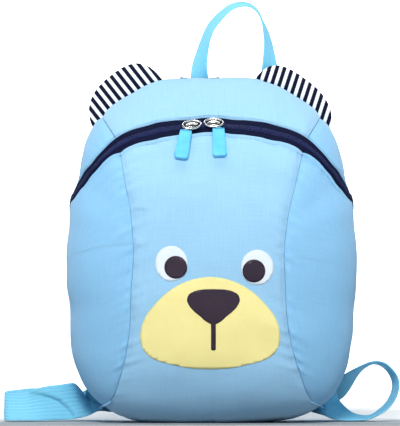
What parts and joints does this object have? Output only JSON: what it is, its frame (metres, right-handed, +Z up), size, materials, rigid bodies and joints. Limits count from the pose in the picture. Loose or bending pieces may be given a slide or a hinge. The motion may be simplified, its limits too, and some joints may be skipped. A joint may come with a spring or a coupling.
{
  "type": "toddler harness backpack",
  "caption": "Small padded toddler backpack shaped as a bear's face, with striped ears, an arched zip, a webbing grab handle and shoulder straps, standing upright and filled out.",
  "frame": {"origin": "middle of the whole object's box on the floor the bag stands on", "axes": "+Z up, the bear's face looks towards -Y, +X to the right as seen from the front"},
  "size_m": [0.2886, 0.1378, 0.3068],
  "materials": {
    "body_cloth": "matt padded polyester weave, light blue",
    "back_cloth": "matt padded polyester weave, light blue",
    "zip_tape": "navy woven tape",
    "zip_coil": "navy nylon coil",
    "slider_metal": "bright plated die casting",
    "pull_rubber": "satin moulded rubber, sky blue",
    "muzzle_film": "thin matt film, pale yellow",
    "dark_film": "thin satin film, dark plum brown",
    "white_film": "thin satin film, white",
    "striped_cloth": "navy and white striped cotton",
    "webbing": "ribbed polypropylene webbing, sky blue",
    "navy_cloth": "navy woven tape",
    "strap_cloth": "matt padded polyester weave, light blue",
    "lock_plastic": "moulded acetal, dark grey"
  },
  "bodies": {
    "root": {"front_panel": "body_cloth", "side_front_left": "body_cloth", "side_front_right": "body_cloth", "top_panel": "body_cloth", "side_top_left": "body_cloth", "side_top_right": "body_cloth", "back_panel": "back_cloth", "zip_tape_rear": "zip_tape", "zip_tape_front": "zip_tape", "zip_coil": "zip_coil", "slider_left": "slider_metal", "slider_right": "slider_metal", "pull_left": "pull_rubber", "pull_right": "pull_rubber", "muzzle_patch": "muzzle_film", "nose_patch": "dark_film", "pupil_left": "dark_film", "pupil_right": "dark_film", "eye_white_left": "white_film", "eye_white_right": "white_film", "ear_left": "striped_cloth", "ear_right": "striped_cloth", "handle": "webbing", "strap_webbing_left": "webbing", "strap_webbing_right": "webbing", "handle_tab_left": "navy_cloth", "handle_tab_right": "navy_cloth", "shoulder_strap_left": "strap_cloth", "shoulder_strap_right": "strap_cloth", "ladder_lock_left": "lock_plastic", "ladder_lock_right": "lock_plastic"}
  },
  "joints": []
}
